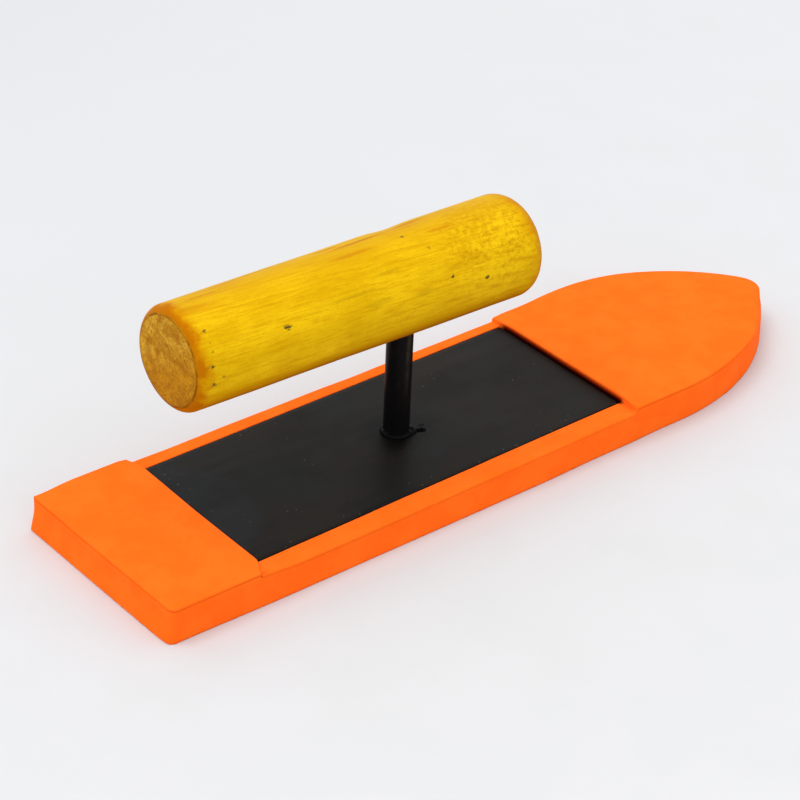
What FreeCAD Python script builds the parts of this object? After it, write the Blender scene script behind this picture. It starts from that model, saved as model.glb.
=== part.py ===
"""Grout float: a one-piece foam pad with a pointed toe, a steel plate let into its back, a round
steel post welded to the plate, and a turned wooden handle driven lengthwise onto the post.

Millimetres. The sole lies on z = 0 with the origin at the middle of its outline, +X runs from the
square heel to the pointed toe, and +Z points from the sole to the handle.
"""

import FreeCAD, Part

import math
import os

# ---- pad -----------------------------------------------------------------------------------
PAD_LENGTH = 300.0
PAD_WIDTH = 76.0
HEEL_HEIGHT = 13.3
TOE_HEIGHT = 14.5            # the toe block stands a little higher than the heel block
LEFT_TOE_LENGTH = 67.0       # from where the side at +Y starts to curve in, to the tip
RIGHT_TOE_LENGTH = 76.0      # the same at -Y, where the foam was cut a little leaner
TIP_RADIUS = 7.5             # the blunt end of the toe
HEEL_SKEW = 1.3              # the heel is cut this much out of square, shorter at -Y
HEEL_CORNER_RADIUS = 1.0
PAD_EDGE_RADIUS = 0.8        # softened edges round the sole and round the top

# ---- step and pocket in the pad's back -----------------------------------------------------
STEP_DEPTH = 1.8             # the rails and the plate lie this far below the heel block
POCKET_GAP = 0.3             # clearance beside the plate and behind it
TOE_GAP = 1.2                # the wider gap left ahead of it

# ---- backing plate -------------------------------------------------------------------------
PLATE_LENGTH = 160.6
PLATE_WIDTH = 62.2
PLATE_THICKNESS = 1.5
PLATE_CORNER_RADIUS = 1.0
PLATE_X = -30.7              # the plate's middle, set back towards the heel
PLATE_Y = 1.9                # and off to one side, so one rail is wider than the other
PLATE_TURN = 0.7             # degrees about +Z, as the plate was set by hand
GLUE_THICKNESS = 0.2
GLUE_MARGIN = 1.5            # the adhesive stops this far inside the plate's edges

# ---- post and weld -------------------------------------------------------------------------
POST_X = -27.0
POST_Y = 2.2
POST_RADIUS = 4.6
SPIGOT_RADIUS = 3.5          # the post's reduced foot, through the plate
SPIGOT_GAP = 0.1
TANG_GROOVES = 3             # turned in the end that is driven into the handle
TANG_GROOVE_DEPTH = 0.5
TANG_GROOVE_WIDTH = 1.2
TANG_GROOVE_PITCH = 6.0
TANG_POINT = 1.5             # chamfer on the post's top end
WELD_RADIUS = 6.2
WELD_HEIGHT = 2.2

# ---- handle --------------------------------------------------------------------------------
HANDLE_LENGTH = 143.5
HANDLE_X = -51.2             # the handle's middle
HANDLE_Y = 1.9
HANDLE_Z = 73.0
HANDLE_DIP = 1.0             # degrees that the toe end sits below level
HANDLE_HEEL_RADIUS = 17.6
HANDLE_TOE_RADIUS = 18.1
HANDLE_HEEL_ROUND = 3.8      # the rounded rims of its two ends
HANDLE_TOE_ROUND = 6.2
BORE_GAP = 0.05              # radial, between the post and its blind bore
BORE_PAST_AXIS = 9.0         # how far the bore runs on above the handle's axis
BORE_END_GAP = 1.0           # left above the post's end

# ---- worked out from the above -------------------------------------------------------------
PLATE_TOP = HEEL_HEIGHT - STEP_DEPTH
PLATE_BOTTOM = PLATE_TOP - PLATE_THICKNESS
POCKET_FLOOR = PLATE_BOTTOM - GLUE_THICKNESS
AXIS_AT_POST = HANDLE_Z - (POST_X - HANDLE_X) * math.tan(math.radians(HANDLE_DIP))
BORE_TOP = AXIS_AT_POST + BORE_PAST_AXIS
POST_TOP = BORE_TOP - BORE_END_GAP
OVERRUN = 10.0               # how far a cutting tool runs past what it cuts

X_AXIS = FreeCAD.Vector(1, 0, 0)
Y_AXIS = FreeCAD.Vector(0, 1, 0)
Z_AXIS = FreeCAD.Vector(0, 0, 1)
ORIGIN = FreeCAD.Vector(0, 0, 0)


def point(x, y, z=0.0):
    return FreeCAD.Vector(x, y, z)


def on_circle(centre, radius, angle):
    """A point on a horizontal circle, with the angle in radians from +X."""
    return point(centre.x + radius * math.cos(angle), centre.y + radius * math.sin(angle), centre.z)


def arc(centre, radius, start, end):
    """A horizontal arc from one angle to another."""
    middle = on_circle(centre, radius, (start + end) / 2)
    return Part.Arc(on_circle(centre, radius, start), middle, on_circle(centre, radius, end)).toShape()


def face_of(edges):
    return Part.Face(Part.Wire(Part.__sortEdges__(edges)))


def slab(length, width, bottom, top):
    """A box centred on the origin in X and Y."""
    return Part.makeBox(length, width, top - bottom, point(-length / 2, -width / 2, bottom))


def set_in_plate_place(shape):
    """Moves a shape drawn about the origin to the plate's place and turn."""
    shape.rotate(ORIGIN, Z_AXIS, PLATE_TURN)
    shape.translate(point(PLATE_X, PLATE_Y))
    return shape


def toe_arc(side, length, tip):
    """The arc that leaves one side straight on and runs tangent into the blunt tip."""
    half = PAD_WIDTH / 2
    reach = length - TIP_RADIUS
    radius = (reach ** 2 + half ** 2 - TIP_RADIUS ** 2) / (2 * (half - TIP_RADIUS))
    centre = point(tip.x - reach, side * (half - radius))
    join = math.atan2(radius - half, reach)
    return arc(centre, radius, side * join, side * math.pi / 2), side * join


def pad_outline():
    """The sole's outline: an almost square heel, straight sides, and a toe of two arcs and a tip."""
    heel = -PAD_LENGTH / 2
    half = PAD_WIDTH / 2
    tip = point(PAD_LENGTH / 2 - TIP_RADIUS, 0)
    right, right_join = toe_arc(-1, RIGHT_TOE_LENGTH, tip)
    left, left_join = toe_arc(1, LEFT_TOE_LENGTH, tip)
    left_corner = point(heel, half)
    right_corner = point(heel + HEEL_SKEW, -half)
    return face_of([
        Part.makeLine(left_corner, right_corner),
        Part.makeLine(right_corner, right.Vertexes[1].Point),
        right,
        arc(tip, TIP_RADIUS, right_join, left_join),
        left,
        Part.makeLine(left.Vertexes[1].Point, left_corner),
    ])


def outline_edges(solid, height):
    """The edges of a solid that lie wholly at one height."""
    level = 1e-4
    return [e for e in solid.Edges
            if abs(e.BoundBox.ZMin - height) < level and abs(e.BoundBox.ZMax - height) < level]


def block(height, outline):
    """The pad's outline raised to one height, with its heel corners and both rims softened."""
    solid = outline.extrude(point(0, 0, height))
    heel_end = HEEL_SKEW + PAD_EDGE_RADIUS - PAD_LENGTH / 2
    corners = [e for e in solid.Edges if e.BoundBox.XMax < heel_end and e.BoundBox.ZLength > height / 2]
    solid = solid.makeFillet(HEEL_CORNER_RADIUS, corners)
    rims = outline_edges(solid, 0.0) + outline_edges(solid, height)
    return solid.makeFillet(PAD_EDGE_RADIUS, rims)


def opening(width, bottom):
    """What is cut away above one level round the plate, with the wider gap at its toe end."""
    cutter = slab(PLATE_LENGTH + POCKET_GAP + TOE_GAP, width, bottom, TOE_HEIGHT + OVERRUN)
    cutter.translate(point((TOE_GAP - POCKET_GAP) / 2, 0))
    return set_in_plate_place(cutter)


def foam_pad():
    """One block of foam, lowered between heel and toe, with a pocket for the plate."""
    outline = pad_outline()
    step = opening(PAD_WIDTH + 2 * OVERRUN, PLATE_TOP)
    pocket = opening(PLATE_WIDTH + 2 * POCKET_GAP, POCKET_FLOOR)
    heel_corner = point(-PAD_LENGTH / 2, -PAD_WIDTH / 2, 0)
    heel_half = Part.makeBox(PAD_LENGTH / 2 + PLATE_X, PAD_WIDTH, TOE_HEIGHT + OVERRUN, heel_corner)
    toe = block(TOE_HEIGHT, outline).cut(heel_half)
    heel = block(HEEL_HEIGHT, outline).common(heel_half)
    return toe.fuse(heel).cut(step).removeSplitter().cut(pocket)


def glue_film():
    """Contact adhesive between the pocket's floor and the plate."""
    film = slab(PLATE_LENGTH - 2 * GLUE_MARGIN, PLATE_WIDTH - 2 * GLUE_MARGIN, POCKET_FLOOR, PLATE_BOTTOM)
    return set_in_plate_place(film)


def backing_plate():
    """Steel sheet with eased corners and a hole for the post's spigot."""
    plate = slab(PLATE_LENGTH, PLATE_WIDTH, PLATE_BOTTOM, PLATE_TOP)
    corners = [e for e in plate.Edges if e.BoundBox.ZLength > PLATE_THICKNESS / 2]
    plate = set_in_plate_place(plate.makeFillet(PLATE_CORNER_RADIUS, corners))
    hole = Part.makeCylinder(SPIGOT_RADIUS + SPIGOT_GAP, PLATE_THICKNESS + 2 * OVERRUN,
                             point(POST_X, POST_Y, PLATE_BOTTOM - OVERRUN))
    return plate.cut(hole)


def post():
    """Round bar, shouldered on the plate, with grooves in the tang inside the handle."""
    foot = point(POST_X, POST_Y, PLATE_BOTTOM)
    spigot = Part.makeCylinder(SPIGOT_RADIUS, PLATE_THICKNESS, foot)
    shoulder = point(POST_X, POST_Y, PLATE_TOP)
    point_start = point(POST_X, POST_Y, POST_TOP - TANG_POINT)
    shank = Part.makeCylinder(POST_RADIUS, point_start.z - shoulder.z, shoulder)
    end = Part.makeCone(POST_RADIUS, POST_RADIUS - TANG_POINT, TANG_POINT, point_start)
    bar = spigot.fuse([shank, end]).removeSplitter()
    for i in range(TANG_GROOVES):
        floor = point(POST_X, POST_Y, AXIS_AT_POST + (i - 1) * TANG_GROOVE_PITCH)
        outer = Part.makeCylinder(POST_RADIUS + OVERRUN, TANG_GROOVE_WIDTH, floor)
        core = Part.makeCylinder(POST_RADIUS - TANG_GROOVE_DEPTH, TANG_GROOVE_WIDTH, floor)
        bar = bar.cut(outer.cut(core))
    return bar


def weld_bead():
    """The bead that joins the post's foot to the plate, a little hollow in section."""
    inner = point(POST_X + POST_RADIUS, POST_Y, PLATE_TOP)
    outer = point(POST_X + WELD_RADIUS, POST_Y, PLATE_TOP)
    top = point(POST_X + POST_RADIUS, POST_Y, PLATE_TOP + WELD_HEIGHT)
    width = WELD_RADIUS - POST_RADIUS
    waist = point(inner.x + 0.42 * width, POST_Y, PLATE_TOP + 0.42 * WELD_HEIGHT)
    section = face_of([
        Part.makeLine(inner, outer),
        Part.Arc(outer, waist, top).toShape(),
        Part.makeLine(top, inner),
    ])
    return section.revolve(point(POST_X, POST_Y, PLATE_TOP), Z_AXIS, 360)


def handle_blank():
    """The turned handle along X about the origin: a slight taper with rounded ends."""
    heel = -HANDLE_LENGTH / 2
    toe = HANDLE_LENGTH / 2
    quarter = math.pi / 2
    heel_round = point(heel + HANDLE_HEEL_ROUND, HANDLE_HEEL_RADIUS - HANDLE_HEEL_ROUND)
    toe_round = point(toe - HANDLE_TOE_ROUND, HANDLE_TOE_RADIUS - HANDLE_TOE_ROUND)
    half_section = face_of([
        Part.makeLine(point(heel, 0), point(heel, heel_round.y)),
        arc(heel_round, HANDLE_HEEL_ROUND, quarter, 2 * quarter),
        Part.makeLine(point(heel_round.x, HANDLE_HEEL_RADIUS), point(toe_round.x, HANDLE_TOE_RADIUS)),
        arc(toe_round, HANDLE_TOE_ROUND, 0, quarter),
        Part.makeLine(point(toe, toe_round.y), point(toe, 0)),
        Part.makeLine(point(toe, 0), point(heel, 0)),
    ])
    return half_section.revolve(ORIGIN, X_AXIS, 360)


def handle():
    """The handle in its place, with a blind bore from below for the post."""
    body = handle_blank()
    body.rotate(ORIGIN, Y_AXIS, HANDLE_DIP)
    body.translate(point(HANDLE_X, HANDLE_Y, HANDLE_Z))
    mouth = HANDLE_Z - HANDLE_TOE_RADIUS - OVERRUN
    bore = Part.makeCylinder(POST_RADIUS + BORE_GAP, BORE_TOP - mouth, point(POST_X, POST_Y, mouth))
    return body.cut(bore)


PIECES = {
    "foam_pad": foam_pad,
    "glue_film": glue_film,
    "backing_plate": backing_plate,
    "post": post,
    "weld_bead": weld_bead,
    "handle": handle,
}


def main():
    os.makedirs("parts", exist_ok=True)
    for name, make in PIECES.items():
        shape = make()
        if not shape.isValid() or len(shape.Solids) != 1:
            raise ValueError(name + " is not one valid solid")
        shape.Solids[0].exportStep("parts/" + name + ".step")
        print(name, round(shape.Volume / 1000, 2), "cm3")


main()
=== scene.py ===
"""The looks of the grout float: foam pad, black plate, post and weld, lacquered wooden handle.

Everything is in metres in the CAD frame: +X from heel to toe, +Z from the sole to the handle.
"""

import math
import random

import bmesh
import bpy
from mathutils import Matrix, Vector, noise


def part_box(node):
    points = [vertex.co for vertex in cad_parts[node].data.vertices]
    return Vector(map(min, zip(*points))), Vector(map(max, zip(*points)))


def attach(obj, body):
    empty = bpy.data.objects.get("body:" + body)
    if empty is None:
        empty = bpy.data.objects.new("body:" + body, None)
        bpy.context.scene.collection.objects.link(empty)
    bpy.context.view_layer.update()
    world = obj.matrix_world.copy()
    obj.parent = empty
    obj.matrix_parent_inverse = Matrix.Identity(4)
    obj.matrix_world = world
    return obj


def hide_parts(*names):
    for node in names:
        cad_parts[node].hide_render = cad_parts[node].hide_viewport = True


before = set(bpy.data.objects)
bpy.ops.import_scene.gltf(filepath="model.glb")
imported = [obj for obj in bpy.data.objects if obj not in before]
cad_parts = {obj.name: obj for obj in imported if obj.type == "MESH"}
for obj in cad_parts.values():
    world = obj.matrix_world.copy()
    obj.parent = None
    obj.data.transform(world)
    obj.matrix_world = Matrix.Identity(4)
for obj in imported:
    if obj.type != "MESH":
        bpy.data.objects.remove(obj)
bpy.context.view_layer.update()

MM = 0.001

# ---- what the frame says ----
PAD_LOW, PAD_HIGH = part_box("foam_pad")
PLATE_LOW, PLATE_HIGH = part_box("backing_plate")
POST_LOW, POST_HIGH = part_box("post")
WELD_LOW, WELD_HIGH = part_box("weld_bead")
HANDLE_LOW, HANDLE_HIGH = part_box("handle")
GLUE_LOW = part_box("glue_film")[0]
POST_PLACE = (POST_LOW + POST_HIGH) / 2
# the leaning post stands a little nearer the toe than the upright one of the CAD
POST_FOOT = POST_PLACE + Vector((0.7 * MM, 0.1 * MM, 0))
POST_LEAN = math.radians(1.85)
POST_RADIUS = (POST_HIGH.x - POST_LOW.x) / 2
WELD_RADIUS = (WELD_HIGH.x - WELD_LOW.x) / 2

# ---- shapes that a box can't give, as in the CAD ----
HALF_WIDTH = (PAD_HIGH.y - PAD_LOW.y) / 2
LEFT_TOE_LENGTH = 67 * MM
RIGHT_TOE_LENGTH = 76 * MM
TIP_RADIUS = 7.5 * MM
HEEL_SKEW = 1.3 * MM
HEEL_HEIGHT = 13.3 * MM
TOE_HEIGHT = PAD_HIGH.z
RIM_ROUND = 0.7 * MM
WALL_ROUND = 0.6 * MM
TOE_WALL_ROUND = 0.8 * MM
GROOVE_DEPTH = 0.3 * MM
HEEL_CORNERS = {1: 0.4 * MM, -1: 2.5 * MM}
WALL_LEAN = 0.25 * MM
PLATE_CORNER = 1.0 * MM
RAIL_HEIGHT = PLATE_HIGH.z
POCKET_FLOOR = GLUE_LOW.z
POCKET_GAP = 0.3 * MM
TOE_GAP = 0.9 * MM
PLATE_LENGTH = 160.6 * MM
PLATE_WIDTH = 62.2 * MM
PLATE_TURN = math.radians(0.7)
PLATE_CENTRE = (PLATE_LOW + PLATE_HIGH) / 2
TIP = PAD_HIGH.x - TIP_RADIUS
HEEL = PAD_LOW.x + HEEL_SKEW / 2
HEEL_WALL = PLATE_CENTRE.x - PLATE_LENGTH / 2 - POCKET_GAP
TOE_WALL = PLATE_CENTRE.x + PLATE_LENGTH / 2 + TOE_GAP
# middle and reach of the painted light on the plate's heel end, and the dimmest corner of the floor's painted
# shade
LIT_PATCH_PLACE = (-112 * MM, 4 * MM, PLATE_HIGH.z)
LIT_PATCH_SCALE = (1 / (22 * MM), 1 / (27 * MM), 0)
DIM_CORNER = (0, 450 * MM, 0)
KNOT_PLACE = (50 * MM, -8 * MM, 13 * MM)
KNOT_REACH = 27 * MM
HANDLE_LENGTH = 143.5 * MM
HALF_HANDLE = HANDLE_LENGTH / 2
HANDLE_DIP = math.radians(1.0)
HANDLE_HEEL_RADIUS = 17.6 * MM
HANDLE_TOE_RADIUS = 18.1 * MM
HANDLE_HEEL_ROUND = 3.8 * MM
HANDLE_TOE_ROUND = 6.2 * MM
HANDLE_CENTRE = (HANDLE_LOW + HANDLE_HIGH) / 2


# ---- mesh helpers ----
def fade(low, high, value):
    """0 below low, 1 above high, and smooth between."""
    t = min(max((value - low) / (high - low), 0), 1)
    return t * t * (3 - 2 * t)


def band(rise, fall, value):
    """0 outside, 1 inside, and smooth over the two stretches where it rises and falls."""
    return fade(*rise, value) * (1 - fade(*fall, value))


def spread(low, high, count):
    """count + 1 evenly spaced values."""
    return [low + (high - low) * i / count for i in range(count + 1)]


def new_object(name, bm, material):
    """Turns a bmesh into a smooth-shaded object of the scene."""
    mesh = bpy.data.meshes.new(name)
    bmesh.ops.recalc_face_normals(bm, faces=bm.faces)
    bm.to_mesh(mesh)
    bm.free()
    for polygon in mesh.polygons:
        polygon.use_smooth = True
    mesh.materials.append(material)
    obj = bpy.data.objects.new(name, mesh)
    bpy.context.scene.collection.objects.link(obj)
    return obj


def bake_modifiers(obj):
    """Makes the modified mesh the object's own and drops the modifiers."""
    graph = bpy.context.evaluated_depsgraph_get()
    made = bpy.data.meshes.new_from_object(obj.evaluated_get(graph))
    obj.modifiers.clear()
    old = obj.data
    obj.data = made
    bpy.data.meshes.remove(old)


def soften_edges(obj, width, segments, least_angle=0.5):
    """Rounds the object's outward edges."""
    bm = bmesh.new()
    bm.from_mesh(obj.data)
    weight = bm.edges.layers.float.new("bevel_weight_edge")
    for edge in bm.edges:
        sharp = len(edge.link_faces) == 2 and edge.calc_face_angle(0) > least_angle
        edge[weight] = 1.0 if sharp and edge.is_convex else 0.0
    bm.to_mesh(obj.data)
    bm.free()
    bevel = obj.modifiers.new("soften", "BEVEL")
    bevel.width = width
    bevel.segments = segments
    bevel.limit_method = "WEIGHT"
    bevel.harden_normals = False
    bake_modifiers(obj)


def post_axis(height):
    """The point on the leaning post's axis at one height."""
    back = (height - PLATE_HIGH.z) * math.tan(POST_LEAN)
    return Vector((POST_FOOT.x - back, POST_FOOT.y, height))


def bore(obj, radius, bottom, top):
    """Cuts the post's hole out of an object."""
    bm = bmesh.new()
    place = Matrix.Translation(post_axis((bottom + top) / 2)) @ Matrix.Rotation(-POST_LEAN, 4, "Y")
    bmesh.ops.create_cone(bm, cap_ends=True, segments=64, radius1=radius, radius2=radius,
                          depth=top - bottom, matrix=place)
    cutter = new_object(obj.name + "_cutter", bm, obj.data.materials[0])
    cut = obj.modifiers.new("bore", "BOOLEAN")
    cut.object = cutter
    cut.operation = "DIFFERENCE"
    cut.solver = "EXACT"
    bake_modifiers(obj)
    bpy.data.objects.remove(cutter)


def displace(obj, shift):
    """Moves each vertex along its normal by shift(place, normal)."""
    vertices = obj.data.vertices
    normals = [v.normal.copy() for v in vertices]
    for vertex, normal in zip(vertices, normals):
        vertex.co += normal * shift(vertex.co, normal)
    obj.data.update()


def circle(count):
    """Angles evenly round a circle."""
    return [2 * math.pi * i / count for i in range(count)]


def heading(angle):
    return Vector((math.cos(angle), math.sin(angle), 0))


def wander(place, size, seed=0.0):
    """Smooth noise from about -1 to 1 with features about this size."""
    return noise.noise(place / size + Vector((seed, 2.7 * seed, -1.3 * seed)))


# ---- node helpers ----
class Nodes:
    """A material's node tree, built by small calls that each return an output socket."""

    def __init__(self, name):
        self.material = bpy.data.materials.new(name)
        self.material.use_nodes = True
        self.tree = self.material.node_tree
        self.shader = self.tree.nodes["Principled BSDF"]
        self.coords = self.tree.nodes.new("ShaderNodeTexCoord").outputs["Object"]

    def put(self, socket, value):
        if isinstance(value, bpy.types.NodeSocket):
            self.tree.links.new(value, socket)
        else:
            socket.default_value = value

    def set(self, **values):
        for name, value in values.items():
            self.put(self.shader.inputs[name.replace("_", " ")], value)

    def maths(self, operation, a, b=0.0, clamp=False):
        node = self.tree.nodes.new("ShaderNodeMath")
        node.operation = operation
        node.use_clamp = clamp
        self.put(node.inputs[0], a)
        self.put(node.inputs[1], b)
        return node.outputs[0]

    def vector(self, operation, a, b=(0, 0, 0)):
        node = self.tree.nodes.new("ShaderNodeVectorMath")
        node.operation = operation
        self.put(node.inputs[0], a)
        self.put(node.inputs[1], b)
        return node.outputs["Value" if operation == "LENGTH" else "Vector"]

    def parts(self, vector):
        node = self.tree.nodes.new("ShaderNodeSeparateXYZ")
        self.put(node.inputs[0], vector)
        return node.outputs

    def noise(self, vector, scale, detail=2.0, rough=0.5, distortion=0.0, stretch=(1, 1, 1), output="Fac"):
        node = self.tree.nodes.new("ShaderNodeTexNoise")
        self.put(node.inputs["Vector"], self.vector("MULTIPLY", vector, stretch))
        node.inputs["Scale"].default_value = scale
        node.inputs["Detail"].default_value = detail
        node.inputs["Roughness"].default_value = rough
        node.inputs["Distortion"].default_value = distortion
        return node.outputs[output]

    def cells(self, vector, scale):
        node = self.tree.nodes.new("ShaderNodeTexVoronoi")
        self.put(node.inputs["Vector"], vector)
        node.inputs["Scale"].default_value = scale
        return node.outputs["Distance"]

    def ramp(self, value, low, high, start=0.0, end=1.0):
        """Maps low..high to start..end with a smooth step, clamped outside."""
        node = self.tree.nodes.new("ShaderNodeMapRange")
        node.interpolation_type = "SMOOTHSTEP"
        self.put(node.inputs["Value"], value)
        node.inputs["From Min"].default_value = low
        node.inputs["From Max"].default_value = high
        node.inputs["To Min"].default_value = start
        node.inputs["To Max"].default_value = end
        return node.outputs["Result"]

    def ramp_mm(self, value, low, high, start=0.0, end=1.0):
        """A ramp between two lengths in millimetres."""
        return self.ramp(value, low * MM, high * MM, start, end)

    def mix(self, factor, a, b):
        node = self.tree.nodes.new("ShaderNodeMix")
        node.data_type = "RGBA"
        self.put(node.inputs["Factor"], factor)
        # a Mix node's colour sockets share their names with its number sockets, so they go by place
        self.put(node.inputs[6], (*a, 1) if isinstance(a, tuple) else a)
        self.put(node.inputs[7], (*b, 1) if isinstance(b, tuple) else b)
        return node.outputs[2]

    def both(self, first, *others):
        """The product of two or more masks."""
        product = first
        for mask in others:
            product = self.maths("MULTIPLY", product, mask)
        return product

    def bump(self, height, distance, strength=1.0, under=None):
        node = self.tree.nodes.new("ShaderNodeBump")
        self.put(node.inputs["Height"], height)
        node.inputs["Distance"].default_value = distance
        node.inputs["Strength"].default_value = strength
        if under is not None:
            self.put(node.inputs["Normal"], under)
        return node.outputs["Normal"]


# ---- materials ----
def foam_material():
    """Dense closed-cell foam: saturated orange, dead matt, with faint clouds and fine pores."""
    n = Nodes("orange_foam")
    clouds = n.noise(n.coords, 95, 3, 0.6)
    mottle = n.noise(n.coords, 420, 2, 0.6)
    colour = n.mix(n.ramp(clouds, 0.35, 0.65), (0.985, 0.132, 0.0085), (1.0, 0.149, 0.0112))
    colour = n.mix(n.ramp(mottle, 0.6, 0.8, 0, 0.3), colour, (0.97, 0.116, 0.0065))
    pits = n.ramp(n.cells(n.coords, 1900), 0.0, 0.35)
    colour = n.mix(n.both(n.maths("SUBTRACT", 1.0, pits), 0.08), colour, (0.62, 0.05, 0.002))
    # painted shade on the toe's wall, in its recess: dark red under its lip and black beside the plate
    x, y, z = n.parts(n.coords)
    wall = n.both(n.ramp(x, TOE_WALL - 1.2 * MM, TOE_WALL - 0.6 * MM),
                  n.ramp(x, TOE_WALL + 2.6 * MM, TOE_WALL + 2 * MM))
    off_centre = n.maths("ABSOLUTE", n.maths("SUBTRACT", y, PLATE_CENTRE.y))
    beside = n.ramp(off_centre, PLATE_WIDTH / 2 + 1.5 * MM, PLATE_WIDTH / 2 - 1.5 * MM, 0.12, 1)
    inside = n.ramp(n.maths("ABSOLUTE", y), HALF_WIDTH - 0.4 * MM, HALF_WIDTH - 3 * MM)
    above = n.ramp(z, POCKET_FLOOR - 2 * MM, POCKET_FLOOR - MM)
    toe_wall_shade = n.both(wall, inside, beside, above)
    under_lip = n.both(toe_wall_shade, n.ramp(z, TOE_HEIGHT - 0.6 * MM, RAIL_HEIGHT + 0.6 * MM))
    colour = n.mix(under_lip, colour, (0.16, 0.006, 0.0012))
    foot = n.both(toe_wall_shade, n.ramp(z, RAIL_HEIGHT + 0.7 * MM, RAIL_HEIGHT - 0.3 * MM))
    colour = n.mix(foot, colour, (0.010, 0.0006, 0.0003))
    # painted shade along the knife's groove under the rims of the heel and the toe
    heel_part = n.ramp(x, HEEL_WALL + 0.1 * MM, HEEL_WALL - 0.3 * MM)
    toe_part = n.both(n.ramp(x, TOE_WALL - 0.3 * MM, TOE_WALL + 0.1 * MM), n.ramp_mm(x, 126, 108))
    uneven = n.ramp(n.noise(n.coords, 150, 3, 0.6), 0.3, 0.7, 0.35, 1)
    for part, height in ((heel_part, HEEL_HEIGHT), (toe_part, TOE_HEIGHT)):
        level = n.maths("ABSOLUTE", n.maths("SUBTRACT", z, height - RIM_ROUND - UNDER_RIM[1][0]))
        line = n.both(n.both(n.ramp_mm(level, 0.3, 0.1), part), uneven)
        colour = n.mix(n.both(line, 0.6), colour, (0.62, 0.045, 0.002))
    skin = n.bump(mottle, 0.25 * MM, 0.5)
    n.set(Base_Color=colour, Roughness=n.ramp(mottle, 0.3, 0.7, 0.8, 0.95), Specular_IOR_Level=0.05,
          Specular_Tint=(1, 0.4, 0.08, 1), Normal=n.bump(pits, 0.06 * MM, 0.6, skin))
    return n.material


def smudge(n, place, reach, raggedness):
    """1 inside a ragged ellipse on the plate, fading to 0 across its edge."""
    offset = n.vector("SUBTRACT", n.coords, (place[0] * MM, place[1] * MM, 0))
    scaled = n.vector("MULTIPLY", offset, (1 / (reach[0] * MM), 1 / (reach[1] * MM), 0))
    return n.ramp(n.maths("ADD", n.vector("LENGTH", scaled), raggedness), 0.6, 1.2, 1, 0)


STAIN_TINTS = ((0.0130, 0.0097, 0.0062), (0.0038, 0.0046, 0.0040), (0.0052, 0.0040, 0.0018))
WELD_DARK_TINT = (0.0016, 0.0013, 0.0009)


def plate_stains():
    """Middle, half axes and colour of faint stains, drawn evenly over the plate, in millimetres."""
    draw = random.Random(6)
    stains = []
    for i in range(6):
        place = (draw.uniform(PLATE_LOW.x, PLATE_HIGH.x) / MM, draw.uniform(PLATE_LOW.y, PLATE_HIGH.y) / MM)
        reach = (draw.uniform(12, 30), draw.uniform(8, 16))
        stains.append((place, reach, STAIN_TINTS[i % len(STAIN_TINTS)]))
    return stains


def steel_material():
    """Black sheet steel with a thin satin lacquer, brown clouds, stains, fine scratches and dust."""
    n = Nodes("black_plate")
    clouds = n.noise(n.coords, 55, 4, 0.6, 0.4)
    blooms = n.noise(n.coords, 90, 3, 0.6, 0.2, (0.6, 1, 1))
    streaks = n.noise(n.coords, 200, 4, 0.65, 0.0, (0.12, 1, 1))
    specks = n.noise(n.coords, 1500, 3, 0.7)
    scratches = n.noise(n.coords, 900, 2, 0.5, 0.0, (1, 0.035, 1))
    colour = n.mix(n.ramp(clouds, 0.38, 0.64), (0.0056, 0.0056, 0.0050), (0.0106, 0.0080, 0.0058))
    colour = n.mix(n.ramp(blooms, 0.5, 0.7, 0, 0.6), colour, (0.0056, 0.0080, 0.0088))
    colour = n.mix(n.ramp(streaks, 0.5, 0.75, 0, 0.5), colour, (0.0048, 0.0042, 0.0034))
    colour = n.mix(n.ramp(specks, 0.55, 0.75, 0, 0.35), colour, (0.017, 0.015, 0.013))
    # painted light: a bluer, lighter patch on the heel end, with a ragged edge
    ragged = n.both(n.maths("SUBTRACT", n.noise(n.coords, 260, 4, 0.7), 0.5), 0.5)
    across = n.vector("MULTIPLY", n.vector("SUBTRACT", n.coords, LIT_PATCH_PLACE), LIT_PATCH_SCALE)
    lit_patch = n.ramp(n.maths("ADD", n.vector("LENGTH", across), ragged), 0.86, 1.04, 1, 0)
    colour = n.mix(n.both(lit_patch, 0.8), colour, (0.0100, 0.0104, 0.0122))
    for place, reach, tint in plate_stains():
        colour = n.mix(n.both(smudge(n, place, reach, ragged), 0.55), colour, tint)
    # darker all round the weld's foot
    around_weld = smudge(n, (POST_FOOT.x / MM, POST_FOOT.y / MM), (15, 11), ragged)
    colour = n.mix(n.both(around_weld, 0.75), colour, WELD_DARK_TINT)
    dust = n.ramp(n.cells(n.coords, 420), 0.06, 0.15, 1, 0)
    x, y, _ = n.parts(n.coords)
    edges = n.maths("MAXIMUM", n.ramp_mm(x, -92, -106), n.ramp_mm(y, -21, -27))
    dusty = n.maths("MAXIMUM", n.ramp(n.noise(n.coords, 60, 2), 0.58, 0.68), edges)
    sparse = n.ramp(n.noise(n.coords, 330, 2, 0.6), 0.46, 0.56)
    colour = n.mix(n.both(dust, dusty, sparse, 0.6), colour, (0.13, 0.12, 0.10))
    rough = n.ramp(n.maths("ADD", clouds, n.both(streaks, 0.4)), 0.45, 0.95, 0.42, 0.56)
    wave = n.bump(n.noise(n.coords, 60, 3), 0.3 * MM, 0.35)
    n.set(Base_Color=colour, Roughness=rough, Specular_IOR_Level=0.085,
          Normal=n.bump(scratches, 0.01 * MM, 0.5, wave))
    return n.material


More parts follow.
